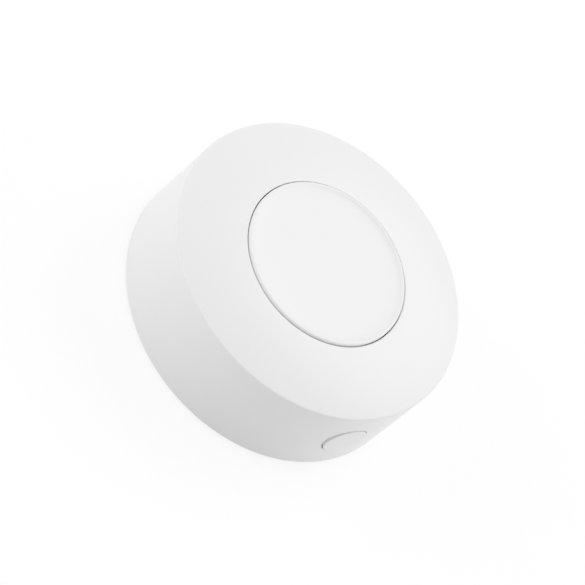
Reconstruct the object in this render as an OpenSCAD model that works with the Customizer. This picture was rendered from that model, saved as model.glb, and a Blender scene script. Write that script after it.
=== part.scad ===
// Round wireless push button: a domed puck with a dished press cap, a small round key in
// its side wall, a twist-off rear cover, a coin cell and a round circuit board.
// The origin is the centre of the rear face. +Z points out of the press cap and the side
// key faces -Y. All sizes are in millimetres.

/* [Housing] */
// Outer diameter of the housing
body_d = 50; // [47:0.5:60]
// Height of the straight side wall, from its rear rim to the crease
side_h = 15.6; // [15:0.05:20]
// Rise of the domed ring, from the crease to the edge of the cap's opening
dome_rise = 2; // [1:0.05:3]
// Bulge of the domed ring above a straight line from the crease to the edge of the opening
dome_bow = 0.3; // [0.15:0.05:0.4]
// Thickness of the side wall and the domed ring
wall = 2.1; // [1.8:0.1:2.6]
// Edge round where the side wall meets the domed ring
crease_r = 0.25; // [0.2:0.05:1]
// Edge round of the side wall's rear rim
rim_r = 0.45; // [0.2:0.05:0.8]
// Height of the side wall's rear rim above the rear face
rim_lift = 0.3; // [0.1:0.05:0.6]
// Edge round of the cap's opening
opening_r = 0.15; // [0.1:0.05:0.4]
// Thickness of the collar that guides the cap
collar_t = 1.2; // [1:0.1:1.6]
// Height of the closed band of the collar under its windows
collar_band = 0.8; // [0.5:0.1:1.2]

/* [Press cap] */
// Diameter of the cap's face
cap_d = 27.5; // [24:0.1:28.6]
// Visible gap around the cap
cap_gap = 0.15; // [0.1:0.05:0.5]
// Height of the cap's crown above the edge of its opening
cap_proud = 0.3; // [0:0.05:0.5]
// Edge round of the cap's face
cap_edge_r = 0.35; // [0.3:0.05:1]
// Depth of the dish in the cap's face
cap_dish = 0.38; // [0.1:0.02:0.8]
// Thickness of the cap's face at its edge
cap_t = 2; // [1.6:0.1:2.4]
// Travel of the cap
cap_travel = 0.5; // [0.3:0.05:0.6]
// Length of the cap's skirt, from its crown
skirt_h = 6.9; // [6:0.1:7]
// Thickness of the skirt
skirt_t = 1.2; // [1:0.1:1.6]
// Depth by which the skirt stands back from the side of the cap's face
skirt_relief = 0.15; // [0.1:0.05:0.3]
// Length of the skirt's guide band
guide_h = 3; // [2:0.1:4]
// Running clearance of the guide band in the collar
guide_gap = 0.12; // [0.08:0.02:0.2]
// Width of a snap hook
hook_w = 4.5; // [3:0.1:6]
// Height of a snap hook
hook_h = 1.1; // [0.8:0.1:1.4]
// Reach of a snap hook past the guide band
hook_reach = 0.8; // [0.5:0.1:1]
// Height at which a snap hook's lower slope starts
hook_lead = 0.15; // [0.1:0.05:0.3]
// Play of a snap hook in its window
hook_play = 0.12; // [0.08:0.02:0.2]
// Width of the slits that free a hook's tongue
slit_w = 0.7; // [0.5:0.1:1]
// Length of the slits
slit_h = 3.4; // [2.5:0.1:4]
// Diameter of the stem that presses the main switch
stem_d = 4.6; // [3.6:0.2:6]
// Thickness of the ribs under the cap's face
cap_rib_t = 1; // [0.8:0.1:1.4]
// Depth of the ribs under the cap's face
cap_rib_h = 1.4; // [1:0.1:2]

/* [Side key] */
// Diameter of the side key
key_d = 6.8; // [5:0.1:7.4]
// Height of the key's axis above the side wall's rear rim
key_rise = 7.95; // [7.8:0.05:8.4]
// Height of the key's face above the side wall
key_proud = 0.1; // [0:0.02:0.2]
// Visible gap around the side key
key_gap = 0.16; // [0.15:0.01:0.3]
// Edge round of the key's face
key_edge_r = 0.1; // [0.1:0.05:0.4]
// Width of the flange that keeps the key in, past its hole
key_flange_w = 0.85; // [0.6:0.05:1]
// Thickness of the flange
key_flange_t = 0.7; // [0.5:0.05:0.8]
// Travel of the side key
key_travel = 0.35; // [0.2:0.05:0.4]
// Play between the flange and the land it rests on
key_play = 0.1; // [0.05:0.01:0.15]
// Margin of the land around the flange
land_margin = 0.25; // [0.15:0.05:0.35]
// Diameter of the pin behind the key
key_pin_d = 2.4; // [2:0.1:2.8]
// Length of the pin behind the key
key_pin_l = 1.2; // [0.9:0.05:1.4]

/* [Rear cover] */
// Thickness of the cover plate
cover_t = 1.5; // [1.3:0.1:2]
// Gap around the cover plate
cover_gap = 0.15; // [0.1:0.01:0.25]
// Width of the step that the cover plate seats on
seat_w = 0.55; // [0.4:0.05:0.8]
// Play of the cover plate under its seat
seat_play = 0.1; // [0.05:0.01:0.15]
// Edge break of the cover plate
cover_edge = 0.3; // [0.1:0.05:0.5]
// Angle from locked to open
cover_turn = 36; // [32:1:40]
// Angle that a lug is clear of its ledge when open
entry_clear = 5; // [3:1:7]
// Angle that a lug spans
lug_span = 26; // [20:1:28]
// Thickness of a lug's upright wall
lug_t = 1.2; // [1:0.1:1.5]
// Thickness of a lug's tab
tab_t = 0.75; // [0.6:0.05:0.85]
// Width of a ledge in the housing
ledge_w = 0.9; // [0.7:0.05:1.1]
// Thickness of a ledge in the housing
ledge_t = 0.8; // [0.6:0.05:0.9]
// Clearance of a lug around its ledge
lug_gap = 0.15; // [0.1:0.01:0.2]
// Width of the stop at the end of a ledge
stop_w = 1.2; // [0.8:0.1:1.6]
// Length of the coin slot
slot_l = 16; // [12:0.5:20]
// Width of the coin slot
slot_w = 2.2; // [1.6:0.1:2.6]
// Depth of the coin slot
slot_depth = 0.8; // [0.5:0.05:0.9]
// Mean diameter of the ring that backs the coin cell
backing_d = 13; // [8:0.5:16]
// Width of the backing ring and of the cover's ribs
backing_w = 1.2; // [0.8:0.1:1.6]
// Height of the backing ring and of the cover's ribs
backing_h = 0.3; // [0.2:0.05:0.5]

/* [Coin cell] */
// Diameter of the coin cell
cell_d = 20; // [16:0.1:24.5]
// Thickness of the coin cell
cell_h = 3.2; // [2:0.1:3.6]
// Play between the backing ring and the cell
cell_play = 0.1; // [0.05:0.01:0.2]
// Sheet thickness of the can and the lid
can_t = 0.25; // [0.2:0.01:0.35]
// Distance from the side of the can to the side of the lid
lid_inset = 1.3; // [1.1:0.05:2]
// Height of the lid above the can's rolled rim
lid_step = 0.3; // [0.2:0.05:0.4]
// Thickness of the gasket between the can and the lid
gasket_t = 0.3; // [0.2:0.02:0.36]
// Edge break of the can
can_edge = 0.3; // [0.1:0.05:0.5]

/* [Battery holder and contacts] */
// Gap between the holder and the cell
holder_gap = 0.25; // [0.15:0.01:0.35]
// Thickness of the holder's wall
holder_t = 1.4; // [1.2:0.1:2]
// Height of the cell that the holder leaves free
holder_lift = 0.5; // [0.3:0.1:1]
// Angle of the opening on each side of the holder
holder_opening = 64; // [50:1:76]
// Diameter of the holder's pegs
peg_d = 1; // [0.8:0.1:1.2]
// Clearance of a peg in the board
peg_gap = 0.06; // [0.04:0.01:0.1]
// Sheet thickness of the contacts
contact_t = 0.15; // [0.1:0.01:0.18]
// Gap between the cell and the board that the negative contact fills
contact_h = 0.35; // [0.3:0.05:0.5]
// Clearance of a contact at the cell
contact_gap = 0.03; // [0.02:0.01:0.05]
// Angle that the positive contact spans
contact_span = 48; // [36:1:48]
// Height of the positive contact's spring band
contact_band = 2; // [1.2:0.1:2.4]
// Reach of the positive contact's foot along the board
contact_foot = 2; // [1.4:0.1:2.4]
// Diameter of the negative contact's plate
contact_d = 10; // [7:0.5:12]
// Width of a finger of the negative contact
finger_w = 1.4; // [1:0.1:1.8]
// Length of a finger of the negative contact
finger_l = 3.2; // [2.4:0.1:3.2]
// Width of the slits beside a finger
finger_slit = 0.3; // [0.2:0.05:0.4]
// Width of the negative contact's rim outside its fingers
finger_rim = 0.7; // [0.5:0.1:0.9]
// Diameter of a finger's tip where it meets the cell
tip_d = 0.7; // [0.5:0.1:0.9]

/* [Circuit board] */
// Thickness of the board
board_t = 1; // [0.8:0.1:1.2]
// Gap between the board and the side wall
board_gap = 2.2; // [2:0.05:2.6]
// Diameter of the posts that carry the board
post_d = 4.4; // [4:0.1:5]
// Width of board left outside a screw's hole
screw_edge = 1; // [0.8:0.05:1.4]
// Thickness of the ribs that stiffen the posts
post_rib_t = 1; // [0.8:0.1:1.4]
// Height of the ribs' lower edge above the board
post_rib_lift = 2; // [1:0.1:3]
// Diameter of the board screws
screw_d = 1.8; // [1.6:0.1:2]
// Clearance of a screw in its post
screw_fit = 0.03; // [0.02:0.01:0.05]
// Clearance of a screw in the board
screw_gap = 0.2; // [0.1:0.05:0.3]
// Length of a screw under its head
screw_l = 5; // [4:0.1:6]
// Diameter of a screw's head
head_d = 3.4; // [3:0.1:3.8]
// Height of a screw's head
head_h = 1.1; // [0.9:0.1:1.4]
// Edge break of a screw's head
head_edge = 0.35; // [0.2:0.05:0.5]
// Length of the cross recess in a screw's head
recess_l = 2; // [1.4:0.1:2.2]
// Width of the cross recess in a screw's head
recess_w = 0.5; // [0.4:0.05:0.7]
// Depth of the cross recess in a screw's head
recess_depth = 0.6; // [0.4:0.05:0.7]

/* [Switches] */
// Width of the main switch
main_w = 6; // [5:0.1:7]
// Height of the main switch's body
main_h = 3.4; // [3:0.1:3.6]
// Diameter of the main switch's plunger
main_plunger_d = 3.4; // [2.8:0.1:3.6]
// Height of the main switch's plunger above its body
main_plunger_h = 1.6; // [1.2:0.1:2]
// Width of the side switch
side_w = 4.6; // [4.4:0.1:6]
// Depth of the side switch's body
side_depth = 3.4; // [3:0.1:3.6]
// Diameter of the side switch's plunger
side_plunger_d = 1.6; // [1.2:0.1:1.8]
// Reach of the side switch's plunger from its body
side_plunger_h = 1; // [0.8:0.1:1.2]
// Sheet thickness of the switches' frames and terminals
frame_t = 0.25; // [0.2:0.01:0.3]
// Sheet thickness of the switches' snap domes
snap_t = 0.12; // [0.08:0.01:0.15]
// Width of a plunger's flange
flange_w = 0.45; // [0.35:0.05:0.5]
// Thickness of a plunger's flange
flange_t = 0.5; // [0.4:0.05:0.6]
// Running clearance of a plunger
plunger_gap = 0.08; // [0.05:0.01:0.1]
// Gap between pieces that press on each other
touch_gap = 0.02; // [0.01:0.005:0.03]
// Width of a switch's terminal
terminal_w = 0.8; // [0.6:0.1:1]
// Reach of a terminal's foot along the board
terminal_l = 1.2; // [0.8:0.1:1.4]
// Height of a terminal on the switch's side
terminal_h = 1.2; // [0.8:0.1:1.6]

/* [Radio module and small parts] */
// Width of the radio module's board
radio_w = 12; // [10:0.5:14]
// Length of the radio module's board
radio_l = 13; // [12:0.5:14]
// Thickness of the radio module's board
radio_t = 0.8; // [0.6:0.1:1]
// Margin between the radio module and the board's edge
radio_margin = 0.6; // [0.4:0.1:1]
// Margin of the shield on the radio module
shield_margin = 0.8; // [0.5:0.1:1]
// Length of the shield
shield_l = 8; // [7.5:0.1:8.2]
// Height of the shield
shield_h = 1.6; // [1.3:0.1:1.8]
// Sheet thickness of the shield
shield_t = 0.2; // [0.15:0.01:0.3]
// Width of the chip under the shield
chip_w = 5; // [4:0.1:6]
// Height of the chip under the shield
chip_h = 0.8; // [0.6:0.05:0.9]
// Width of the antenna's track
track_w = 0.5; // [0.4:0.05:0.6]
// Thickness of the antenna's track
track_t = 0.08; // [0.05:0.01:0.1]
// Number of the antenna's folds
track_folds = 6; // [4:1:7]
// Length of a capacitor
capacitor_l = 2; // [1.6:0.1:2.2]
// Width of a capacitor
capacitor_w = 1.25; // [1:0.05:1.4]
// Height of a capacitor
capacitor_h = 1; // [0.8:0.1:1.2]
// Length of a resistor
resistor_l = 1.6; // [1.2:0.1:1.8]
// Width of a resistor
resistor_w = 0.8; // [0.6:0.05:1]
// Height of a resistor
resistor_h = 0.5; // [0.4:0.05:0.6]
// Distance of the small parts from the middle of the board
parts_r = 9; // [8:0.25:10]
// Diameter of the status light's lens
led_d = 1.6; // [1.2:0.1:1.8]
// Width of the status light's base
led_w = 2; // [1.9:0.1:2.2]
// Height of the status light's base
led_h = 0.6; // [0.5:0.05:0.8]
// Height of the status light's lens
lens_h = 0.5; // [0.3:0.05:0.7]
// Diameter of the lens at its top
lens_top_d = 1; // [0.7:0.1:1.1]

/* [Hidden] */

// Facets of small round shapes and of the wide, shallow arcs
$fn = 96;
wide_fn = 720;
// Overrun of a cut past the face it opens, and overlap of shapes fused into one piece
over = 0.5;
// How much flatter than a tangent arc an edge round is
edge_flat = 1.1;
// How far the cut of an edge round runs on past the ends of its arc
edge_run = 1.6;

// Housing
body_r = body_d / 2;
inner_r = body_r - wall;
crease_z = rim_lift + side_h;
top_z = crease_z + dome_rise;
opening_rad = cap_d / 2 + cap_gap;
collar_r = opening_rad + collar_t;
// The arc of the domed ring runs from the edge of the opening to the crease
dome_run = body_r - opening_rad;
dome_chord = norm([dome_run, dome_rise]);
dome_r = dome_chord ^ 2 / (8 * dome_bow) + dome_bow / 2;
dome_up = [dome_rise, dome_run] / dome_chord;
dome_mid = [(body_r + opening_rad) / 2, crease_z + dome_rise / 2] - dome_up * (dome_r - dome_bow);

// Press cap, whose crown stands out of its opening
cap_r = cap_d / 2;
cap_top = top_z + cap_proud;
cap_under = cap_top - cap_t;
skirt_z = cap_top - skirt_h;
skirt_r = cap_r - skirt_relief;
skirt_in = skirt_r - skirt_t;
guide_r = opening_rad - guide_gap;
crown_r = cap_r - cap_edge_r;
dish_r = (crown_r ^ 2 + cap_dish ^ 2) / (2 * cap_dish);
hook_pitch = 90;
hook_angles = [for (a = [0 : hook_pitch : 270]) a];
hook_span = degrees_of(hook_w, guide_r);
hook_z = skirt_z;
window_z = hook_z - cap_travel - hook_play;
collar_z = window_z - collar_band;

// Side key, on an axis that points out of the side wall
key_z = rim_lift + key_rise;
key_face_at = body_r + key_proud;
key_hole_r = key_d / 2 + key_gap;
key_flange_r = key_hole_r + key_flange_w;
land_r = key_flange_r + land_margin;
land_at = sqrt(inner_r ^ 2 - land_r ^ 2) - key_play;
key_seat_at = land_at - key_play;
key_back_at = key_seat_at - key_flange_t;
key_pin_at = key_back_at - key_pin_l;

// Rear cover
seat_z = cover_t + seat_play;
cover_bore_r = inner_r + seat_w;
cover_r = cover_bore_r - cover_gap;
ledge_in = inner_r - ledge_w;
ledge_top = seat_z + ledge_t;
ledge_span = 2 * (cover_turn - entry_clear) - lug_span;
lug_r = ledge_in - lug_gap;
tab_r = inner_r - lug_gap;
tab_z = ledge_top + lug_gap;
tab_top = tab_z + tab_t;
lug_angles = [90, 210, 330];

// Coin cell and board, stacked up from the rear cover
cell_r = cell_d / 2;
cell_z = cover_t + backing_h + cell_play;
cell_top = cell_z + cell_h;
can_in = cell_r - can_t;
can_floor = cell_z + can_t;
// An edge break as wide as the sheet allows at most
can_break = min(can_edge, 1.8 * can_t);
can_top = cell_top - lid_step;
rim_under = can_top - can_t;
lid_r = cell_r - lid_inset;
lid_foot_r = can_in - gasket_t;
lid_foot_in = lid_foot_r - can_t;
lid_shoulder = rim_under - gasket_t;
board_z = cell_top + contact_h;
board_top = board_z + board_t;
board_r = inner_r - board_gap;
screw_hole_r = screw_d / 2 + screw_gap;
post_r = board_r - screw_edge - screw_hole_r;
post_angles = [45, 135, 225, 315];
post_top = dome_z(post_r - post_d / 2) - wall / 2;
post_rib_top = dome_z(inner_r) - wall / 2;
holder_in = cell_r + holder_gap;
holder_r = holder_in + holder_t;
peg_angles = [0, 180];
finger_angles = [0, 120, 240];

// Switches: width, length, height, plunger diameter, plunger reach and travel
main_switch = [main_w, main_w, main_h, main_plunger_d, main_plunger_h, cap_travel];
side_switch = [
  side_w, 2 * (key_z - board_top), side_depth,
  side_plunger_d, side_plunger_h, key_travel
];
plunger_top = board_top + main_h + main_plunger_h;
side_switch_at = key_pin_at - touch_gap - side_plunger_h - side_depth;

// Radio module
radio_end = sqrt(board_r ^ 2 - (radio_w / 2) ^ 2) - radio_margin;
radio_start = radio_end - radio_l;
radio_top = board_top + radio_t;
shield_start = radio_start + shield_margin;
antenna_start = shield_start + shield_l + shield_margin;
antenna_l = radio_end - shield_margin - antenna_start;
fold_pitch = (radio_w - 2 * shield_margin - track_w) / track_folds;
capacitor_angles = [-32, -16, 0, 16, 32];
resistor_angles = [140, 152, 164, 196, 208, 220];
led_angle = 300;
positive_angle = 90;

// Colours
white_plastic = [0.95, 0.95, 0.94];
grey_plastic = [0.32, 0.33, 0.35];
black_plastic = [0.09, 0.09, 0.1];
steel = [0.72, 0.73, 0.75];
gold = [0.83, 0.68, 0.36];
board_green = [0.1, 0.36, 0.22];
ceramic = [0.68, 0.57, 0.42];
lens_clear = [0.93, 0.96, 0.9];

// Angle in degrees of an arc of a given length
function degrees_of(arc, radius) = arc / radius * 180 / PI;

// Height of the domed ring's outer face at a distance from the axis
function dome_z(radius) = dome_mid[1] + sqrt(dome_r ^ 2 - (radius - dome_mid[0]) ^ 2);

// Unit vector that runs down the domed ring's outer face at a distance from the axis
function dome_down(radius) = [dome_z(radius) - dome_mid[1], dome_mid[0] - radius] / dome_r;

// Centre of the circle of radius r through a and b, on the side that the unit vector n points to
function arc_mid(a, b, n, r) = (a + b) / 2 + n * sqrt(r ^ 2 - norm(a - b) ^ 2 / 4);

// What an edge round takes off a profile's corner, whose two sides leave it along the unit vectors u and v
module edge_cut(corner, u, v, r) {
  side = r / tan(acos(u * v) / 2);
  a = corner + side * u;
  b = corner + side * v;
  n = (u + v) / norm(u + v);
  arc_r = r * edge_flat;
  mid = arc_mid(a, b, n, arc_r);
  difference() {
    polygon([mid, mid + edge_run * (a - mid), corner - r * n, mid + edge_run * (b - mid)]);
    translate(mid) circle(arc_r);
  }
}

// Ring about the Z axis, whole or as a sector centred on the X axis
module ring(r_in, r_out, z_low, z_high, span = 360) {
  rotate(-span / 2)
    rotate_extrude(angle = span)
      translate([r_in, z_low]) square([r_out - r_in, z_high - z_low]);
}

// Places what follows on the side key's axis, whose +Z points out of the side wall
module on_key_axis(at = 0) {
  translate([0, 0, key_z]) rotate([90, 0, 0]) translate([0, 0, at]) children();
}

// Outer form of the housing, with the cap's opening
module outer_profile() {
  difference() {
    intersection() {
      translate([opening_rad, rim_lift])
        square([body_r - opening_rad, side_h + dome_rise + over]);
      translate(dome_mid) circle(dome_r, $fn = wide_fn);
    }
    edge_cut([body_r, crease_z], [0, -1], -dome_down(body_r), crease_r);
    edge_cut([body_r, rim_lift], [0, 1], [-1, 0], rim_r);
    edge_cut([opening_rad, top_z], [0, -1], dome_down(opening_rad), opening_r);
  }
}

// Space inside the housing, apart from the collar and the rear cover's seat
module inner_profile() {
  intersection() {
    translate([0, rim_lift - over]) square([inner_r, top_z]);
    translate(dome_mid) circle(dome_r - wall, $fn = wide_fn);
  }
}

// Section of the housing: wall, domed ring, collar and rear seat
module housing_profile() {
  difference() {
    outer_profile();
    difference() {
      inner_profile();
      translate([opening_rad, collar_z]) square([collar_t, top_z - collar_z]);
    }
    translate([0, rim_lift - over]) square([cover_bore_r, seat_z - rim_lift + over]);
  }
}

// Post that carries the board, with the rib that ties it to the side wall
module board_post() {
  translate([post_r, 0, board_top]) cylinder(d = post_d, h = post_top - board_top);
  translate([post_r, -post_rib_t / 2, board_top + post_rib_lift])
    cube([inner_r + wall / 2 - post_r, post_rib_t, post_rib_top - board_top - post_rib_lift]);
}

// Ledge that a lug of the rear cover turns onto, with the stop that ends the turn
module cover_ledge() {
  stop_span = degrees_of(stop_w, inner_r);
  stop_angle = lug_span / 2 + degrees_of(lug_gap, tab_r) + stop_span / 2;
  ring(ledge_in, inner_r + wall / 2, seat_z, ledge_top, ledge_span);
  rotate(stop_angle) ring(ledge_in, inner_r + wall / 2, seat_z, tab_top, stop_span);
}

// Window in the collar that a snap hook travels in
module hook_window() {
  span = hook_span + 2 * degrees_of(hook_play, guide_r);
  ring(opening_rad - over, collar_r + over, window_z, hook_z + hook_h + hook_play, span);
}

module front_housing() {
  color(white_plastic)
    difference() {
      union() {
        rotate_extrude() housing_profile();
        for (a = post_angles) rotate(a) board_post();
        for (a = lug_angles) rotate(a) cover_ledge();
        on_key_axis(land_at) cylinder(r = land_r, h = inner_r + wall / 2 - land_at);
      }
      on_key_axis(land_at - over) cylinder(r = key_hole_r, h = body_r - land_at + 2 * over);
      for (a = hook_angles) rotate(a) hook_window();
      for (a = post_angles)
        rotate(a)
          translate([post_r, 0, board_top - over])
            cylinder(d = screw_d + 2 * screw_fit, h = screw_l - board_t + 2 * over);
    }
}

// Section of the cap: dished face with a round edge, skirt and guide band
module cap_profile() {
  dish_edge = [crown_r / dish_r, 1];
  crown = cap_top + (cap_r - crown_r) * crown_r / dish_r;
  difference() {
    union() {
      translate([0, cap_under]) square([cap_r, cap_t + over]);
      translate([0, skirt_z]) square([skirt_r, skirt_h]);
      translate([0, skirt_z]) square([guide_r, guide_h]);
    }
    translate([0, skirt_z - over]) square([skirt_in, cap_under - skirt_z + over]);
    translate([0, cap_top - cap_dish + dish_r]) circle(dish_r, $fn = wide_fn);
    edge_cut([cap_r, crown], [0, -1], [-dish_edge[1], -dish_edge[0]] / norm(dish_edge), cap_edge_r);
  }
}

// Snap hook at the foot of the skirt, sloped below so that it springs in
module snap_hook() {
  root_r = skirt_r - skirt_t / 2;
  tip_r = guide_r + hook_reach;
  rotate(-hook_span / 2)
    rotate_extrude(angle = hook_span)
      polygon([
        [root_r, hook_z + hook_lead], [guide_r, hook_z + hook_lead],
        [tip_r, hook_z + hook_h / 2], [tip_r, hook_z + hook_h], [root_r, hook_z + hook_h]
      ]);
}

module press_cap() {
  slit_at = hook_w / 2 + hook_play;
  stem_z = plunger_top + touch_gap;
  color(white_plastic)
    difference() {
      union() {
        rotate_extrude() cap_profile();
        for (a = hook_angles) rotate(a) snap_hook();
        translate([0, 0, stem_z]) cylinder(d = stem_d, h = cap_under - stem_z + over);
        for (a = hook_angles)
          rotate(a + hook_pitch / 2)
            translate([0, -cap_rib_t / 2, cap_under - cap_rib_h])
              cube([skirt_in + skirt_t / 2, cap_rib_t, cap_rib_h + over]);
      }
      for (a = hook_angles, s = [-1, 1])
        rotate(a)
          translate([skirt_in - over, s * (slit_at + slit_w / 2) - slit_w / 2, skirt_z - over])
            cube([skirt_t + hook_reach + 2 * over, slit_w, slit_h + over]);
    }
}

// Section of the side key about its own axis: face, shank, flange and pin
module key_profile() {
  difference() {
    union() {
      translate([0, key_back_at]) square([key_d / 2, key_face_at - key_back_at]);
      translate([0, key_back_at]) square([key_flange_r, key_flange_t]);
      translate([0, key_pin_at]) square([key_pin_d / 2, key_pin_l + over]);
    }
    edge_cut([key_d / 2, key_face_at], [0, -1], [-1, 0], key_edge_r);
  }
}

module side_key() {
  color(white_plastic) on_key_axis() rotate_extrude() key_profile();
}

// Lug of the rear cover: an upright wall with a tab that turns over the housing's ledge
module cover_lug() {
  ring(lug_r - lug_t, lug_r, cover_t - over, tab_top, lug_span);
  ring(lug_r - over, tab_r, tab_z, tab_top, lug_span);
}

// Coin slot with round ends
module coin_slot() {
  run = slot_l - slot_w;
  translate([0, 0, -over])
    linear_extrude(slot_depth + over) {
      translate([-run / 2, -slot_w / 2]) square([run, slot_w]);
      for (s = [-1, 1]) translate([s * run / 2, 0]) circle(d = slot_w);
    }
}

module rear_cover() {
  ring_r = backing_d / 2;
  color(white_plastic)
    difference() {
      union() {
        rotate_extrude()
          polygon([
            [0, 0], [cover_r - cover_edge, 0], [cover_r, cover_edge], [cover_r, cover_t], [0, cover_t]
          ]);
        for (a = lug_angles) rotate(a) cover_lug();
        ring(ring_r - backing_w / 2, ring_r + backing_w / 2, cover_t - over, cover_t + backing_h);
        for (a = lug_angles)
          rotate(a)
            translate([ring_r, -backing_w / 2, cover_t - over])
              cube([lug_r - lug_t / 2 - ring_r, backing_w, backing_h + over]);
      }
      coin_slot();
    }
}

module circuit_board() {
  color(board_green)
    difference() {
      translate([0, 0, board_z]) cylinder(r = board_r, h = board_t);
      for (a = post_angles)
        rotate(a)
          translate([post_r, 0, board_z - over])
            cylinder(r = screw_hole_r, h = board_t + 2 * over);
      for (a = peg_angles)
        rotate(a)
          translate([holder_in + holder_t / 2, 0, board_z - over])
            cylinder(d = peg_d + 2 * peg_gap, h = board_t + 2 * over);
    }
}

// Screw with a cross recess, its head on the board's rear face
module board_screw() {
  difference() {
    union() {
      translate([0, 0, -head_h])
        cylinder(d1 = head_d - 2 * head_edge, d2 = head_d, h = head_edge);
      translate([0, 0, head_edge - head_h]) cylinder(d = head_d, h = head_h - head_edge);
      cylinder(d = screw_d, h = screw_l);
    }
    for (a = [0, 90])
      rotate(a)
        translate([-recess_l / 2, -recess_w / 2, -head_h - over])
          cube([recess_l, recess_w, recess_depth + over]);
  }
}

module board_screws() {
  color(steel)
    for (a = post_angles) rotate(a) translate([post_r, 0, board_z]) board_screw();
}

module battery_holder() {
  half = 180 - holder_opening;
  color(black_plastic)
    for (a = peg_angles)
      rotate(a) {
        ring(holder_in, holder_r, cell_z + holder_lift, board_z, half);
        translate([holder_in + holder_t / 2, 0, board_z - over])
          cylinder(d = peg_d, h = board_t + over);
      }
}

module positive_contact() {
  band_r = cell_r + contact_gap;
  color(steel)
    rotate(positive_angle) {
      ring(band_r, band_r + contact_t, board_z - contact_h - contact_band, board_z, contact_span);
      ring(band_r, band_r + contact_foot, board_z - contact_t, board_z, contact_span);
    }
}

// Plate under the board with three slit fingers, whose tips press on the cell's lid
module negative_contact() {
  finger_end = contact_d / 2 - finger_rim;
  slit_at = (finger_w + finger_slit) / 2;
  plate_z = board_z - contact_t;
  tip_z = cell_top + contact_gap;
  color(steel) {
    difference() {
      translate([0, 0, plate_z]) cylinder(d = contact_d, h = contact_t);
      for (a = finger_angles, s = [-1, 1])
        rotate(a)
          translate([finger_end - finger_l, s * slit_at - finger_slit / 2, plate_z - over])
            cube([finger_l, finger_slit, contact_t + 2 * over]);
    }
    for (a = finger_angles)
      rotate(a)
        translate([finger_end - finger_w / 2, 0, tip_z])
          cylinder(d1 = tip_d, d2 = finger_w, h = plate_z + contact_t / 2 - tip_z);
  }
}

// Can of the cell, whose rim is rolled in over the gasket
module cell_can() {
  color(steel)
    rotate_extrude()
      difference() {
        polygon([
          [0, cell_z], [cell_r - can_break, cell_z], [cell_r, cell_z + can_break],
          [cell_r, can_top - can_break], [cell_r - can_break, can_top], [0, can_top]
        ]);
        translate([0, can_floor]) square([can_in, rim_under - can_floor]);
        translate([0, can_floor]) square([lid_r + gasket_t, cell_h]);
      }
}

// Gasket that lines the can, holds the foot of the lid and shows around the lid's side
module cell_gasket() {
  color(black_plastic) {
    ring(lid_foot_r, can_in, can_floor, rim_under);
    ring(lid_foot_in, can_in, can_floor, can_floor + gasket_t);
    ring(lid_r, can_in, lid_shoulder, rim_under);
    ring(lid_r, lid_r + gasket_t, lid_shoulder, can_top);
  }
}

module cell_core() {
  top_r = lid_r - can_t;
  color(grey_plastic)
    rotate_extrude()
      polygon([
        [0, can_floor], [lid_foot_in, can_floor], [lid_foot_in, lid_shoulder - can_t],
        [top_r, lid_shoulder - can_t], [top_r, cell_top - can_t], [0, cell_top - can_t]
      ]);
}

// Lid of the cell: a cup with a shoulder and a foot that stands in the gasket
module cell_lid() {
  color(steel)
    rotate_extrude()
      polygon([
        [0, cell_top - can_t], [lid_r - can_t, cell_top - can_t],
        [lid_r - can_t, lid_shoulder - can_t], [lid_foot_in, lid_shoulder - can_t],
        [lid_foot_in, can_floor + gasket_t], [lid_foot_r, can_floor + gasket_t],
        [lid_foot_r, lid_shoulder], [lid_r, lid_shoulder], [lid_r, cell_top], [0, cell_top]
      ]);
}

// Parts of a push switch, whose plunger points along +Z from the middle of its rear face
function plunger_flange_r(s) = s[3] / 2 + flange_w;
function flange_top(s) = s[2] - frame_t - touch_gap;
function snap_h(s) = s[5] + snap_t + touch_gap;
function well_floor(s) = flange_top(s) - flange_t - touch_gap - snap_h(s);

module switch_base(s) {
  color(black_plastic)
    difference() {
      translate([-s[0] / 2, -s[1] / 2, 0]) cube([s[0], s[1], s[2] - frame_t]);
      translate([0, 0, well_floor(s)])
        cylinder(r = plunger_flange_r(s) + plunger_gap, h = s[2]);
    }
}

module switch_frame(s) {
  color(steel)
    difference() {
      translate([-s[0] / 2, -s[1] / 2, s[2] - frame_t]) cube([s[0], s[1], frame_t]);
      translate([0, 0, s[2] - frame_t - over])
        cylinder(r = s[3] / 2 + plunger_gap, h = frame_t + 2 * over);
    }
}

// Snap dome: a shallow spherical sheet that stands on the floor of the switch's well
module switch_dome(s) {
  foot_r = plunger_flange_r(s) - plunger_gap;
  h = snap_h(s);
  r = (foot_r ^ 2 + h ^ 2) / (2 * h);
  color(steel)
    translate([0, 0, well_floor(s)])
      rotate_extrude()
        intersection() {
          square([foot_r + over, h + over]);
          translate([0, h - r])
            difference() {
              circle(r, $fn = wide_fn);
              circle(r - snap_t, $fn = wide_fn);
            }
        }
}

module switch_plunger(s, shade) {
  color(shade) {
    translate([0, 0, flange_top(s) - flange_t]) cylinder(r = plunger_flange_r(s), h = flange_t);
    translate([0, 0, flange_top(s) - flange_t])
      cylinder(d = s[3], h = s[2] + s[4] - flange_top(s) + flange_t);
  }
}

// Four bent terminals beside a switch of a given width and length that stands on the board
module switch_terminals(width, length) {
  color(steel)
    for (s = [-1, 1], y = [-length / 4, length / 4])
      translate([s * width / 2, y + terminal_w / 2, board_top])
        mirror([s < 0 ? 1 : 0, 0, 0])
          rotate([90, 0, 0])
            linear_extrude(terminal_w)
              polygon([
                [0, 0], [terminal_l, 0], [terminal_l, frame_t],
                [frame_t, frame_t], [frame_t, terminal_h], [0, terminal_h]
              ]);
}

// The main switch stands on the board under the cap's stem
module on_board() {
  translate([0, 0, board_top]) children();
}

module main_switch_base() {
  on_board() switch_base(main_switch);
}

module main_switch_frame() {
  on_board() switch_frame(main_switch);
}

module main_switch_dome() {
  on_board() switch_dome(main_switch);
}

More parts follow.
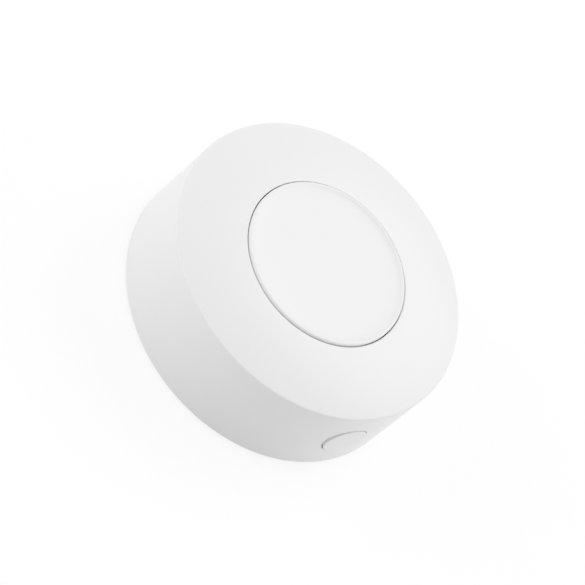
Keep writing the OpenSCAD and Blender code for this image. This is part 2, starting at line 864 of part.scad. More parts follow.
module main_switch_plunger() {
  on_board() switch_plunger(main_switch, grey_plastic);
}

module main_switch_terminals() {
  switch_terminals(main_w, main_w);
}

// The side switch lies on the board behind the side key's pin
module side_switch_base() {
  on_key_axis(side_switch_at) switch_base(side_switch);
}

module side_switch_frame() {
  on_key_axis(side_switch_at) switch_frame(side_switch);
}

module side_switch_dome() {
  on_key_axis(side_switch_at) switch_dome(side_switch);
}

module side_switch_plunger() {
  on_key_axis(side_switch_at) switch_plunger(side_switch, grey_plastic);
}

module side_switch_terminals() {
  translate([0, -side_switch_at - side_depth / 2, 0]) switch_terminals(side_w, side_depth);
}

// Box that stands on the radio module, centred across it
module on_radio(start, size) {
  translate([-size[0] / 2, start, radio_top]) cube(size);
}

module radio_board() {
  color(board_green)
    translate([-radio_w / 2, radio_start, board_top]) cube([radio_w, radio_l, radio_t]);
}

module radio_chip() {
  color(black_plastic)
    on_radio(shield_start + (shield_l - chip_w) / 2, [chip_w, chip_w, chip_h]);
}

module radio_shield() {
  shield_w = radio_w - 2 * shield_margin;
  color(steel)
    difference() {
      on_radio(shield_start, [shield_w, shield_l, shield_h]);
      translate([0, 0, -shield_t])
        on_radio(shield_start + shield_t, [shield_w - 2 * shield_t, shield_l - 2 * shield_t, shield_h]);
    }
}

// Folded track at the outer end of the radio module
module radio_antenna() {
  left = -radio_w / 2 + shield_margin;
  color(gold)
    translate([left, antenna_start, radio_top])
      linear_extrude(track_t)
        for (i = [0 : track_folds]) {
          translate([i * fold_pitch, 0]) square([track_w, antenna_l]);
          if (i < track_folds)
            translate([i * fold_pitch, i % 2 == 0 ? antenna_l - track_w : 0])
              square([fold_pitch + track_w, track_w]);
        }
}

// Small part on the board, at an angle around its middle
module small_part(angle, size) {
  rotate(angle)
    translate([parts_r - size[1] / 2, -size[0] / 2, board_top])
      cube([size[1], size[0], size[2]]);
}

module capacitors() {
  color(ceramic)
    for (a = capacitor_angles) small_part(a, [capacitor_w, capacitor_l, capacitor_h]);
}

module resistors() {
  color(black_plastic)
    for (a = resistor_angles) small_part(a, [resistor_w, resistor_l, resistor_h]);
}

module status_led() {
  color(lens_clear) {
    small_part(led_angle, [led_w, led_w, led_h]);
    rotate(led_angle)
      translate([parts_r, 0, board_top + led_h]) cylinder(d1 = led_d, d2 = lens_top_d, h = lens_h);
  }
}

front_housing();
press_cap();
side_key();
rear_cover();
circuit_board();
board_screws();
battery_holder();
positive_contact();
negative_contact();
cell_can();
cell_gasket();
cell_core();
cell_lid();
main_switch_base();
main_switch_frame();
main_switch_dome();
main_switch_plunger();
main_switch_terminals();
side_switch_base();
side_switch_frame();
side_switch_dome();
side_switch_plunger();
side_switch_terminals();
radio_board();
radio_chip();
radio_shield();
radio_antenna();
capacitors();
resistors();
status_led();
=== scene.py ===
"""Dresses the packed round push button: shells, snap domes, finishes of the inner parts and a studio."""
import math

import bmesh
import bpy
from bpy.props import FloatProperty, FloatVectorProperty, PointerProperty
from bpy.types import NodeSocket, Operator, Panel, PropertyGroup, Scene
from mathutils import Matrix, Vector


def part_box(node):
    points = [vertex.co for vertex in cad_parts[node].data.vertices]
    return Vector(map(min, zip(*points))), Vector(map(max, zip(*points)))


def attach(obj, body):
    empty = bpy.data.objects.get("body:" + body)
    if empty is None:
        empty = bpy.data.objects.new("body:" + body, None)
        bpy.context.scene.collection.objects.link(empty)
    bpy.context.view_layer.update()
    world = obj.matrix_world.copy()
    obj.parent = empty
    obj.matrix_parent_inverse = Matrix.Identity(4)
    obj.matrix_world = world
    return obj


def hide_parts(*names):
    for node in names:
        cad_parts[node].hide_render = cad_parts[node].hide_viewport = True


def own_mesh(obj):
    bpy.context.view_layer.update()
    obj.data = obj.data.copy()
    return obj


bl_info = {
    "name": "Round Push Button",
    "version": (1, 0, 0),
    "blender": (4, 5, 0),
    "location": "3D View > Sidebar > Push Button",
    "description": "Shells, finishes and studio of a round wireless push button",
    "category": "Object",
}

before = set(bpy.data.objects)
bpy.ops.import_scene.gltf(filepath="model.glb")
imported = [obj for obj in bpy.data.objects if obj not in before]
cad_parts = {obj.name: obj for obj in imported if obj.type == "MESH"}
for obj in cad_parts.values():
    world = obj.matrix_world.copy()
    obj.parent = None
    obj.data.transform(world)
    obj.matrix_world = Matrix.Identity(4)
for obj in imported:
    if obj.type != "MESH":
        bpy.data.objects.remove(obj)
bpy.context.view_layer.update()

# Boxes of the packed pieces that the shells take their places from
HOUSING_LOW, HOUSING_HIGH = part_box("front_housing")
KEY_LOW, KEY_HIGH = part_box("side_key")
COVER_LOW, COVER_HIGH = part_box("rear_cover")

# Heights of the cap's foot, of the main plunger's top and of the board's front face that the posts stand on
CAP_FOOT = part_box("press_cap")[0].z
PLUNGER_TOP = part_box("main_switch_plunger")[1].z
BOARD_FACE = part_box("circuit_board")[1].z

# Columns of a full turn
TURN_STEPS = 288
# Columns on each side of the key's axis that its patch of the wall takes up, and edges round that patch
PATCH_COLUMNS = 10
PATCH_EDGES = 4 * 2 * PATCH_COLUMNS
# Steps along the domed ring, along a snap dome, of a swept sector and of a plain rounded edge
ARC_STEPS = 24
SNAP_STEPS = 10
SWEEP_STEPS = 20
EDGE_STEPS = 5
# Sides of a post, and of the floor
POST_SIDES = 48
# How closely the cap's soft lip keeps to the edge of its face
LIP_POWER = 20
# Tolerance for finding an edge by its place
NEAR = 2e-6
# Edges sharper than this stay sharp
SHARP_ANGLE = math.radians(32)
# Overlap of shapes that are joined, and overrun of a cut past the face it opens
OVER = 0.0005
RIGHT_ANGLE = math.pi / 2
WHOLE_TURN = math.tau

# Height of the side key's axis, and the place on it of a shape that is made about the Z axis
KEY_AXIS = (KEY_LOW.z + KEY_HIGH.z) / 2
ON_KEY_AXIS = Matrix.Translation((0, 0, KEY_AXIS)) @ Matrix.Rotation(RIGHT_ANGLE, 4, "X")

# Directions of the repeated features round the axis
HOOK_TURNS = [math.radians(degrees) for degrees in (0, 90, 180, 270)]
POST_TURNS = [math.radians(degrees) for degrees in (45, 135, 225, 315)]
LUG_TURNS = [math.radians(degrees) for degrees in (90, 210, 330)]

# Where the middle of a noise starts and ends
NOISE_LOW = 0.3
NOISE_HIGH = 0.7
# Distance of the small parts from the board's middle, and how many tracks fit side by side in a metre
PARTS_RING = 0.009
TRACKS_PER_METRE = 420
# What the floor's white has to spare, so that only a shadow shows on it
FLOOR_SPARE = 0.02
WHITE = (1, 1, 1, 1)


def length(name, description, default):
    """A size in metres."""
    return FloatProperty(
        name=name,
        description=description,
        default=default,
        min=0,
        precision=5,
        subtype="DISTANCE",
        unit="LENGTH",
    )


def colour(name, description, default):
    """A linear colour."""
    return FloatVectorProperty(
        name=name, description=description, default=default, size=3, min=0, max=1, subtype="COLOR"
    )


def factor(name, description, default):
    """A share from 0 to 1."""
    return FloatProperty(name=name, description=description, default=default, min=0, max=1, subtype="FACTOR")


def angle(name, description, degrees):
    """An angle, written in degrees and kept in radians."""
    return FloatProperty(
        name=name, description=description, default=math.radians(degrees), subtype="ANGLE", unit="ROTATION"
    )


class HousingSizes(PropertyGroup):
    """Sizes of the front housing."""

    diameter: length("Diameter", "Across the side wall", 2 * HOUSING_HIGH.x)
    rim: length("Rim height", "Rear rim of the side wall above the rear face", HOUSING_LOW.z)
    crease: length("Crease height", "Where the side wall meets the domed ring", 0.0159)
    dome_rise: length("Dome rise", "From the crease to the edge of the opening", 0.002)
    dome_bow: length("Dome bow", "Bulge of the domed ring above a straight line across it", 0.0003)
    wall: length("Wall", "Thickness of the side wall and the domed ring", 0.0021)
    opening: length("Opening", "Diameter of the cap's opening", 0.0278)
    crease_round: length("Crease round", "Radius where the side wall meets the domed ring", 0.00025)
    rim_round: length("Rim round", "Radius of the rear rim", 0.00045)
    bore_round: length("Bore round", "Radius of the inner edge of the rear rim", 0.00012)
    opening_round: length("Opening round", "Radius of the edge of the cap's opening", 0.00015)
    collar_wall: length("Collar wall", "Thickness of the collar that guides the cap", 0.0012)
    collar_foot: length("Collar foot", "Lower edge of the collar above the rear face", 0.00988)
    window_low: length("Window foot", "Lower edge of the collar's windows", 0.01068)
    window_high: length("Window head", "Upper edge of the collar's windows", 0.01252)
    window_span: angle("Window span", "Angle that a window of the collar spans", 19.71)
    cover_bore: length("Cover bore", "Diameter of the recess for the rear cover", 0.0469)
    cover_seat: length("Cover seat", "Step that the rear cover seats on, above the rear face", 0.0016)
    ledge: length("Ledge width", "Width of the ledges that hold the cover's lugs", 0.0009)
    ledge_top: length("Ledge top", "Front face of the ledges above the rear face", 0.0024)
    ledge_span: angle("Ledge span", "Angle that a ledge spans", 36)
    stop_top: length("Stop top", "Front face of the stops above the rear face", 0.0033)
    stop_span: angle("Stop span", "Angle that a stop spans", 3)
    stop_turn: angle("Stop turn", "From the middle of a ledge to the middle of its stop", 14.88)
    post: length("Post diameter", "Across the posts that carry the board", 0.0044)
    post_bore: length("Post bore", "Diameter of a post's screw hole", 0.00186)
    post_bore_depth: length("Bore depth", "Depth of a post's screw hole", 0.0045)
    post_distance: length("Post distance", "From the axis to a post", 0.0186)
    rib: length("Rib", "Thickness of the ribs between the posts and the wall", 0.001)
    rib_lift: length("Rib lift", "Lower edge of the ribs above the board", 0.002)
    land_radius: length("Land radius", "Radius of the land around the key's hole", 0.00466)
    land_distance: length("Land distance", "From the axis to the face of the land", 0.02232)


class CapSizes(PropertyGroup):
    """Sizes of the press cap."""

    diameter: length("Diameter", "Across the cap's face", 0.0275)
    proud: length("Proud", "Height of the cap's crown above the edge of its opening", 0.0003)
    dish: length("Dish", "Depth of the dish in the face", 0.00012)
    lip: length("Lip", "Rise of the soft lip round the dish", 0.00026)
    edge_round: length("Edge round", "Radius of the face's edge", 0.00035)
    face: length("Face thickness", "Thickness of the face at its edge", 0.002)
    skirt_wall: length("Skirt wall", "Thickness of the skirt", 0.0012)
    relief: length("Skirt relief", "How far the skirt stands back from the side of the face", 0.00015)
    guide_diameter: length("Guide diameter", "Across the skirt's guide band", 0.02756)
    guide_height: length("Guide height", "Length of the skirt's guide band", 0.003)
    hook_reach: length("Hook reach", "Reach of a snap hook past the guide band", 0.0008)
    hook_height: length("Hook height", "Height of a snap hook", 0.0011)
    hook_lead: length("Hook lead", "Height at which a hook's lower slope starts", 0.00015)
    hook_span: angle("Hook span", "Angle that a snap hook spans", 18.71)
    slit_width: length("Slit width", "Width of the slits beside a hook", 0.0007)
    slit_height: length("Slit height", "Length of the slits beside a hook", 0.0034)
    slit_distance: length("Slit distance", "From the middle of a hook to the middle of a slit", 0.00272)
    stem: length("Stem diameter", "Across the stem that presses the switch", 0.0046)
    stem_play: length("Stem play", "Between the stem and the switch's plunger", 0.00002)
    rib: length("Rib", "Thickness of the ribs under the face", 0.001)
    rib_depth: length("Rib depth", "Depth of the ribs under the face", 0.0014)


class KeySizes(PropertyGroup):
    """Sizes of the side key."""

    diameter: length("Diameter", "Across the key's face", 0.0068)
    gap: length("Gap", "Visible gap around the key", 0.00016)
    edge_round: length("Edge round", "Radius of the face's edge", 0.0001)
    hole_round: length("Hole round", "Radius of the edge of the key's hole", 0.00005)
    flange: length("Flange thickness", "Thickness of the flange behind the wall", 0.0007)
    pin: length("Pin diameter", "Across the pin behind the key", 0.0024)
    pin_length: length("Pin length", "Length of the pin behind the flange", 0.0012)


class CoverSizes(PropertyGroup):
    """Sizes of the rear cover."""

    diameter: length("Diameter", "Across the plate", 2 * COVER_HIGH.x)
    plate: length("Plate", "Thickness of the plate", 0.0015)
    edge_round: length("Edge round", "Radius of the plate's rear edge", 0.0003)
    slot_length: length("Slot length", "Length of the coin slot", 0.016)
    slot_width: length("Slot width", "Width of the coin slot", 0.0022)
    slot_depth: length("Slot depth", "Depth of the coin slot", 0.0008)
    slot_round: length("Slot round", "Radius of the coin slot's edge", 0.00015)
    lug_outer: length("Lug radius", "From the axis to the outer face of a lug's wall", 0.02185)
    lug_wall: length("Lug wall", "Thickness of a lug's wall", 0.0012)
    lug_span: angle("Lug span", "Angle that a lug spans", 26)
    tab_outer: length("Tab radius", "From the axis to the end of a lug's tab", 0.02275)
    tab: length("Tab thickness", "Thickness of a lug's tab", 0.00075)
    backing: length("Backing diameter", "Mean diameter of the ring that backs the coin cell", 0.013)
    backing_width: length("Backing width", "Width of the backing ring and of the ribs", 0.0012)
    backing_height: length("Backing height", "Height of the backing ring and of the ribs", 0.0003)


class SnapSizes(PropertyGroup):
    """Sizes of the switches' snap domes."""

    sheet: length("Sheet", "Thickness of a dome's sheet", 0.00012)
    main_travel: length("Main travel", "Travel of the main switch's plunger", 0.0005)
    side_travel: length("Side travel", "Travel of the side switch's plunger", 0.00035)


class Finishes(PropertyGroup):
    """Colours and surface of the finishes."""

    shell: colour("Shell", "White plastic of the shells", (0.9, 0.9, 0.9))
    shell_roughness: factor("Shell roughness", "Roughness of the white plastic", 0.36)
    grain: length("Grain", "Size of the moulded grain of the plastics", 0.00022)
    grain_depth: length("Grain depth", "Depth of the moulded grain", 0.0000025)
    mask: colour("Solder mask", "Green mask of the circuit boards", (0.012, 0.1, 0.045))
    mask_dark: colour("Bare mask", "Green mask where no track lies under it", (0.007, 0.062, 0.028))
    steel: colour("Steel", "Stamped sheet steel", (0.56, 0.57, 0.58))
    gold: colour("Gold", "Plated track of the antenna", (0.8, 0.55, 0.2))
    black: colour("Black plastic", "Switch bodies, chip and battery holder", (0.018, 0.018, 0.02))
    grey: colour("Grey plastic", "Plungers and the core of the coin cell", (0.11, 0.115, 0.12))
    ceramic: colour("Ceramic", "Bodies of the capacitors", (0.4, 0.28, 0.16))
    solder: colour("Solder", "Tinned ends of the small parts", (0.6, 0.6, 0.58))
    lens: colour("Lens", "Resin of the status light", (0.85, 0.88, 0.78))


class StageLook(PropertyGroup):
    """Camera, floor and light of the studio."""

    azimuth: angle("Azimuth", "Direction of the camera round the button", 297.95)
    elevation: angle("Elevation", "Height of the camera's direction above the floor", 47.14)
    roll: angle("Roll", "Turn of the picture about the camera's own axis", 50.07)
    distance: length("Distance", "From the camera to the middle of the crease", 0.60288)
    focal: FloatProperty(
        name="Focal length",
        description="Lens of the camera",
        default=246.15,
        min=1,
        subtype="DISTANCE_CAMERA",
    )
    offset: FloatVectorProperty(
        name="Offset",
        description="Aim of the camera, right of and above the middle of the crease",
        default=(-0.004206, -0.00351),
        size=2,
        precision=5,
        subtype="TRANSLATION",
        unit="LENGTH",
    )
    floor_radius: length("Floor radius", "Radius of the floor", 2)
    floor_gap: length("Floor gap", "Distance of the floor below the rear face", 0.00005)
    floor_glow: factor("Floor glow", "Share of the floor's white that no shadow falls on", 0.8)
    floor_bounce: factor("Floor bounce", "Share of the light that the floor throws back", 0.8)
    lamp_distance: length("Lamp distance", "From the lamps to the button", 1)
    lamp_side: length("Lamp side", "Side of a lamp's square", 0.6)
    fill: FloatProperty(
        name="Fill",
        description="Strength of the even light from all round",
        default=0.61,
        min=0,
    )


# Soft lamps: name, azimuth and elevation in degrees, irradiance on the button, and if gloss shows them
LAMPS = (
    ("left_softbox", 148, 24, 0.8, False),
    ("low_softbox", 118, 8, 0.33, False),
    ("right_softbox", 328, 8, 0.9, False),
    ("far_softbox", 13, 45, 0.8, True),
)


def steps_between(start, end, count):
    """Evenly spaced values, both ends included."""
    return [start + (end - start) * step / count for step in range(count + 1)]


def spin_section(bm, section, closed=False):
    """Spins a section of (radius, height) points about the Z axis, as an open line or a closed one."""
    verts = [bm.verts.new((radius, 0, z)) for radius, z in section]
    ends = verts[1:] + verts[:1] if closed else verts[1:]
    edges = [bm.edges.new(pair) for pair in zip(verts, ends)]
    bmesh.ops.spin(
        bm,
        geom=verts + edges,
        cent=(0, 0, 0),
        axis=(0, 0, 1),
        angle=WHOLE_TURN,
        steps=TURN_STEPS,
        use_merge=True,
    )
    bmesh.ops.remove_doubles(bm, verts=bm.verts, dist=NEAR)


def add_sector(bm, section, middle, span):
    """Adds a solid that a closed section sweeps through part of a turn about the Z axis."""
    start = Matrix.Rotation(middle - span / 2, 3, "Z")
    verts = [bm.verts.new(start @ Vector((radius, 0, z))) for radius, z in section]
    face = bm.faces.new(verts)
    bmesh.ops.spin(
        bm,
        geom=[*verts, *face.edges, face],
        cent=(0, 0, 0),
        axis=(0, 0, 1),
        angle=span,
        steps=SWEEP_STEPS,
        use_merge=False,
    )


def add_box(bm, turn, low, high):
    """Adds a box between two corners, turned about the Z axis."""
    low, high = Vector(low), Vector(high)
    place = Matrix.Translation((low + high) / 2) @ Matrix.Diagonal(high - low).to_4x4()
    bmesh.ops.create_cube(bm, size=1, matrix=Matrix.Rotation(turn, 4, "Z") @ place)


def add_post(bm, turn, distance, diameter, low, high):
    """Adds an upright round post at a distance from the axis."""
    place = Matrix.Rotation(turn, 4, "Z") @ Matrix.Translation((distance, 0, (low + high) / 2))
    bmesh.ops.create_cone(
        bm,
        cap_ends=True,
        segments=POST_SIDES,
        radius1=diameter / 2,
        radius2=diameter / 2,
        depth=high - low,
        matrix=place,
    )


def rectangle(inner, outer, low, high):
    """Section of a ring with square corners."""
    return [(inner, low), (outer, low), (outer, high), (inner, high)]


def ring_edges(bm, radius, z):
    """The circle of edges at a distance from the axis and at a height."""

    def on_ring(vert):
        return abs(vert.co.xy.length - radius) < NEAR and abs(vert.co.z - z) < NEAR

    return [edge for edge in bm.edges if all(on_ring(vert) for vert in edge.verts)]


def loop_edges(verts):
    """The edges that join the verts of a loop to each other."""
    return list({edge for vert in verts for edge in vert.link_edges if edge.other_vert(vert) in verts})


def round_edges(bm, edges, radius, corner=RIGHT_ANGLE, segments=EDGE_STEPS):
    """Rounds edges to a radius, where the two faces of the solid meet at the angle of the corner."""
    bmesh.ops.bevel(
        bm,
        geom=edges,
        offset=radius / math.tan(corner / 2),
        offset_type="OFFSET",
        segments=segments,
        profile=0.5,
        affect="EDGES",
        material=-1,
        clamp_overlap=True,
    )


def extrude_loop(bm, verts):
    """Extrudes a loop of verts in place and returns the new loop."""
    made = bmesh.ops.extrude_edge_only(bm, edges=loop_edges(verts))["geom"]
    return {item for item in made if isinstance(item, bmesh.types.BMVert)}


def new_object(name, bm):
    """Turns a bmesh into an object at the origin, with its faces pointing outwards."""
    bmesh.ops.recalc_face_normals(bm, faces=bm.faces)
    mesh = bpy.data.meshes.new(name)
    bm.to_mesh(mesh)
    bm.free()
    made = bpy.data.objects.new(name, mesh)
    bpy.context.scene.collection.objects.link(made)
    return made


def combine(piece, solids, operation):
    """Joins the solids of a bmesh to a piece, or cuts them out of it."""
    tool = new_object("tool", solids)
    step = piece.modifiers.new("Combine", "BOOLEAN")
    step.operation = operation
    step.solver = "MANIFOLD"
    step.object = tool
    evaluated = piece.evaluated_get(bpy.context.evaluated_depsgraph_get())
    combined = bpy.data.meshes.new_from_object(evaluated)
    piece.modifiers.clear()
    plain, piece.data = piece.data, combined
    bpy.data.meshes.remove(plain)
    bpy.data.meshes.remove(tool.data)
    combined.name = piece.name


def settle(piece, material, body, node):
    """Shades a piece, gives it its finish and lets it ride its body in its packed node's place."""
    piece.data.shade_smooth()
    piece.data.set_sharp_from_angle(angle=SHARP_ANGLE)
    piece.data.materials.clear()
    piece.data.materials.append(material)
    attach(piece, body)
    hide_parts(node)


def finish_shell(piece, body, node):
    """Settles a shell of white plastic, with even shading beside its small rounded edges."""
    settle(piece, moulded_white(), body, node)
    even = piece.modifiers.new("Even shading", "WEIGHTED_NORMAL")
    even.keep_sharp = True


class Dome:
    """The arc of the domed ring, from the edge of the opening to the crease."""

    def __init__(self, sizes):
        outer, lip = sizes.diameter / 2, sizes.opening / 2
        across = Vector((outer - lip, -sizes.dome_rise))
        # Radius of the arc that bulges by the bow over the straight line across
        self.radius = across.length_squared / (8 * sizes.dome_bow) + sizes.dome_bow / 2
        up = Vector((sizes.dome_rise, outer - lip)).normalized()
        start = Vector((lip, sizes.crease + sizes.dome_rise))
        self.middle = start + across / 2 - up * (self.radius - sizes.dome_bow)

    def height(self, distance, depth=0):
        """Height at a distance from the axis, of the arc or of one that lies under it."""
        return self.middle.y + math.sqrt((self.radius - depth) ** 2 - (distance - self.middle.x) ** 2)

    def slope(self, distance):
        """Angle between the arc and the level at a distance from the axis."""
        return math.asin((distance - self.middle.x) / self.radius)


def housing_section(sizes, dome):
    """Section of the housing: collar, domed ring, side wall, rear recess and inner faces."""
    outer, lip = sizes.diameter / 2, sizes.opening / 2
    inner, collar, bore = outer - sizes.wall, lip + sizes.collar_wall, sizes.cover_bore / 2
    patch = PATCH_COLUMNS * outer * WHOLE_TURN / TURN_STEPS
    levels = steps_between(KEY_AXIS + patch, KEY_AXIS - patch, 2 * PATCH_COLUMNS)
    section = [(lip, sizes.collar_foot)]
    section += [(distance, dome.height(distance)) for distance in steps_between(lip, outer, ARC_STEPS)]
    section += [(outer, z) for z in levels]
    section += [(outer, sizes.rim), (bore, sizes.rim), (bore, sizes.cover_seat), (inner, sizes.cover_seat)]
    section += [(inner, z) for z in reversed(levels)]
    under = steps_between(inner, collar, ARC_STEPS)
    section += [(distance, dome.height(distance, sizes.wall)) for distance in under]
    section += [(collar, sizes.collar_foot)]
    return section


def open_wall(bm, wall_radius, hole_radius):
    """Opens a round hole about the key's axis in a face of the side wall and returns the hole's loop."""
    reach = PATCH_COLUMNS * WHOLE_TURN / TURN_STEPS

    def in_patch(face):
        middle = face.calc_center_median()
        on_wall = all(abs(vert.co.xy.length - wall_radius) < NEAR for vert in face.verts)
        beside_axis = abs(math.atan2(middle.x, -middle.y)) < reach
        return on_wall and beside_axis and abs(middle.z - KEY_AXIS) < reach * HOUSING_HIGH.x

    faces = {face for face in bm.faces if in_patch(face)}
    edges = [edge for face in faces for edge in face.edges if not faces.issuperset(edge.link_faces)]
    bmesh.ops.delete(bm, geom=list(faces), context="FACES")
    circle = bmesh.ops.create_circle(bm, segments=PATCH_EDGES, radius=hole_radius, matrix=ON_KEY_AXIS)
    loop = set(circle["verts"])
    for vert in loop:
        vert.co.y = -math.sqrt(wall_radius**2 - vert.co.x**2)
    patch = bmesh.ops.bridge_loops(bm, edges=edges + loop_edges(loop))
    rings = bmesh.ops.subdivide_edgering(bm, edges=patch["edges"], interp_mode="LINEAR", cuts=2)
    for vert in {vert for face in rings["faces"] for vert in face.verts}:
        vert.co.xy *= wall_radius / vert.co.xy.length
    return loop


def open_key_hole(bm, sizes, key):
    """Opens the side key's hole through the side wall, with the land that the key's flange rests on."""
    outer, hole = sizes.diameter / 2, key.diameter / 2 + key.gap
    outside = open_wall(bm, outer, hole)
    inside = open_wall(bm, outer - sizes.wall, sizes.land_radius)
    land = extrude_loop(bm, inside)
    for vert in land:
        vert.co.y = -sizes.land_distance
    mouth = extrude_loop(bm, land)
    bmesh.ops.scale(
        bm,
        vec=Vector((1, 0, 1)) * hole / sizes.land_radius + Vector((0, 1, 0)),
        space=Matrix.Translation((0, 0, -KEY_AXIS)),
        verts=list(mouth),
    )
    bmesh.ops.bridge_loops(bm, edges=loop_edges(outside) + loop_edges(mouth))
    round_edges(bm, loop_edges(outside), key.hole_round, segments=3)


def housing_features(sizes, dome):
    """Posts for the board and ledges for the rear cover, then the ribs and stops that overlap them."""
    inner = sizes.diameter / 2 - sizes.wall
    root = inner + sizes.wall / 2
    ledge = rectangle(inner - sizes.ledge, root, sizes.cover_seat, sizes.ledge_top)
    stop = rectangle(inner - sizes.ledge, root, sizes.cover_seat, sizes.stop_top)
    post_top = dome.height(sizes.post_distance - sizes.post / 2) - sizes.wall / 2
    rib_top = dome.height(inner) - sizes.wall / 2
    seats, braces = bmesh.new(), bmesh.new()
    for turn in POST_TURNS:
        add_post(seats, turn, sizes.post_distance, sizes.post, BOARD_FACE, post_top)
        rib_low = (sizes.post_distance, -sizes.rib / 2, BOARD_FACE + sizes.rib_lift)
        add_box(braces, turn, rib_low, (root, sizes.rib / 2, rib_top))
    for turn in LUG_TURNS:
        add_sector(seats, ledge, turn, sizes.ledge_span)
        add_sector(braces, stop, turn + sizes.stop_turn, sizes.stop_span)
    return seats, braces


def housing_cuts(sizes):
    """Windows for the snap hooks and bores for the board's screws."""
    lip = sizes.opening / 2
    bm = bmesh.new()
    window = rectangle(lip - OVER, lip + sizes.collar_wall + OVER, sizes.window_low, sizes.window_high)
    for turn in HOOK_TURNS:
        add_sector(bm, window, turn, sizes.window_span)
    bore_end = BOARD_FACE + sizes.post_bore_depth
    for turn in POST_TURNS:
        add_post(bm, turn, sizes.post_distance, sizes.post_bore, BOARD_FACE - OVER, bore_end)
    return bm


class PUSHBUTTON_OT_housing(Operator):
    """Makes the front housing: side wall, domed ring, collar, the key's hole and the inner supports"""

    bl_idname = "push_button.housing"
    bl_label = "Front Housing"

    def execute(self, context):
        sizes, key = context.scene.button_housing, context.scene.button_key
        dome = Dome(sizes)
        outer, lip = sizes.diameter / 2, sizes.opening / 2
        bm = bmesh.new()
        spin_section(bm, housing_section(sizes, dome), closed=True)
        crease = ring_edges(bm, outer, sizes.crease)
        round_edges(bm, crease, sizes.crease_round, RIGHT_ANGLE + dome.slope(outer), segments=8)
        opening = ring_edges(bm, lip, dome.height(lip))
        round_edges(bm, opening, sizes.opening_round, RIGHT_ANGLE - dome.slope(lip), segments=4)
        round_edges(bm, ring_edges(bm, outer, sizes.rim), sizes.rim_round, segments=6)
        round_edges(bm, ring_edges(bm, sizes.cover_bore / 2, sizes.rim), sizes.bore_round, segments=3)
        open_key_hole(bm, sizes, key)
        piece = new_object("housing_shell", bm)
        for solids in housing_features(sizes, dome):
            combine(piece, solids, "UNION")
        combine(piece, housing_cuts(sizes), "DIFFERENCE")
        finish_shell(piece, "housing", "front_housing")
        return {"FINISHED"}


def cap_section(sizes, top):
    """Section of the press cap from face to stem, the corner of its face, and the face's slope there."""
    outer, guide, stem = sizes.diameter / 2, sizes.guide_diameter / 2, sizes.stem / 2
    skirt, under = outer - sizes.relief, top - sizes.face
    crown, inner = outer - sizes.edge_round, skirt - sizes.skirt_wall
    guide_top, stem_foot = CAP_FOOT + sizes.guide_height, PLUNGER_TOP + sizes.stem_play

    def face(distance):
        share = distance / crown
        return distance, top - sizes.dish * (1 - share**2) - sizes.lip * (1 - share**LIP_POWER)

    section = [face(distance) for distance in steps_between(0, crown - sizes.edge_round, 2 * ARC_STEPS)]
    rise = top - section[-1][1]
    corner = (outer, top + rise)
    section += [corner, (outer, under), (skirt, under), (skirt, guide_top), (guide, guide_top)]
    section += [(guide, CAP_FOOT), (inner, CAP_FOOT), (inner, under)]
    section += [(stem, under), (stem, stem_foot), (0, stem_foot)]
    return section, corner, math.atan2(rise, sizes.edge_round)


def cap_features(sizes, top):
    """Snap hooks at the foot of the skirt and ribs under the face."""
    skirt, guide = sizes.diameter / 2 - sizes.relief, sizes.guide_diameter / 2
    root, tip, under = skirt - sizes.skirt_wall / 2, guide + sizes.hook_reach, top - sizes.face
    lead, head = CAP_FOOT + sizes.hook_lead, CAP_FOOT + sizes.hook_height
    hook = [(root, lead), (guide, lead), (tip, CAP_FOOT + sizes.hook_height / 2), (tip, head), (root, head)]
    rib_low = (sizes.stem / 4, -sizes.rib / 2, under - sizes.rib_depth)
    rib_high = (root, sizes.rib / 2, under + OVER)
    bm = bmesh.new()
    for turn in HOOK_TURNS:
        add_sector(bm, hook, turn, sizes.hook_span)
    for turn in POST_TURNS:
        add_box(bm, turn, rib_low, rib_high)
    return bm


def cap_slits(sizes):
    """Slits that free the tongues of the snap hooks."""
    skirt, half = sizes.diameter / 2 - sizes.relief, sizes.slit_width / 2
    inner, outer = skirt - sizes.skirt_wall - OVER, skirt + sizes.hook_reach + OVER
    bm = bmesh.new()
    for turn in HOOK_TURNS:
        for middle in (-sizes.slit_distance, sizes.slit_distance):
            low = (inner, middle - half, CAP_FOOT - OVER)
            add_box(bm, turn, low, (outer, middle + half, CAP_FOOT + sizes.slit_height))
    return bm


class PUSHBUTTON_OT_press_cap(Operator):
    """Makes the dished press cap with its skirt, snap hooks and stem"""

    bl_idname = "push_button.press_cap"
    bl_label = "Press Cap"

    def execute(self, context):
        sizes, housing = context.scene.button_cap, context.scene.button_housing
        top = housing.crease + housing.dome_rise + sizes.proud
        section, corner, slope = cap_section(sizes, top)
        bm = bmesh.new()
        spin_section(bm, section)
        round_edges(bm, ring_edges(bm, *corner), sizes.edge_round, RIGHT_ANGLE - slope, segments=10)
        piece = new_object("cap_shell", bm)
        combine(piece, cap_features(sizes, top), "UNION")
        combine(piece, cap_slits(sizes), "DIFFERENCE")
        finish_shell(piece, "cap", "press_cap")
        return {"FINISHED"}


class PUSHBUTTON_OT_side_key(Operator):
    """Makes the round side key with its flange and pin"""

    bl_idname = "push_button.side_key"
    bl_label = "Side Key"

    def execute(self, context):
        sizes = context.scene.button_key
        face, pin_end = -KEY_LOW.y, -KEY_HIGH.y
        back = pin_end + sizes.pin_length
        seat = back + sizes.flange
        shank, flange, pin = sizes.diameter / 2, KEY_HIGH.x, sizes.pin / 2
        section = [(0, face), (shank, face), (shank, seat), (flange, seat)]
        section += [(flange, back), (pin, back), (pin, pin_end), (0, pin_end)]
        bm = bmesh.new()
        spin_section(bm, section)
        round_edges(bm, ring_edges(bm, shank, face), sizes.edge_round, segments=6)
        bmesh.ops.transform(bm, matrix=ON_KEY_AXIS, verts=bm.verts)
        finish_shell(new_object("key_shell", bm), "key", "side_key")
        return {"FINISHED"}


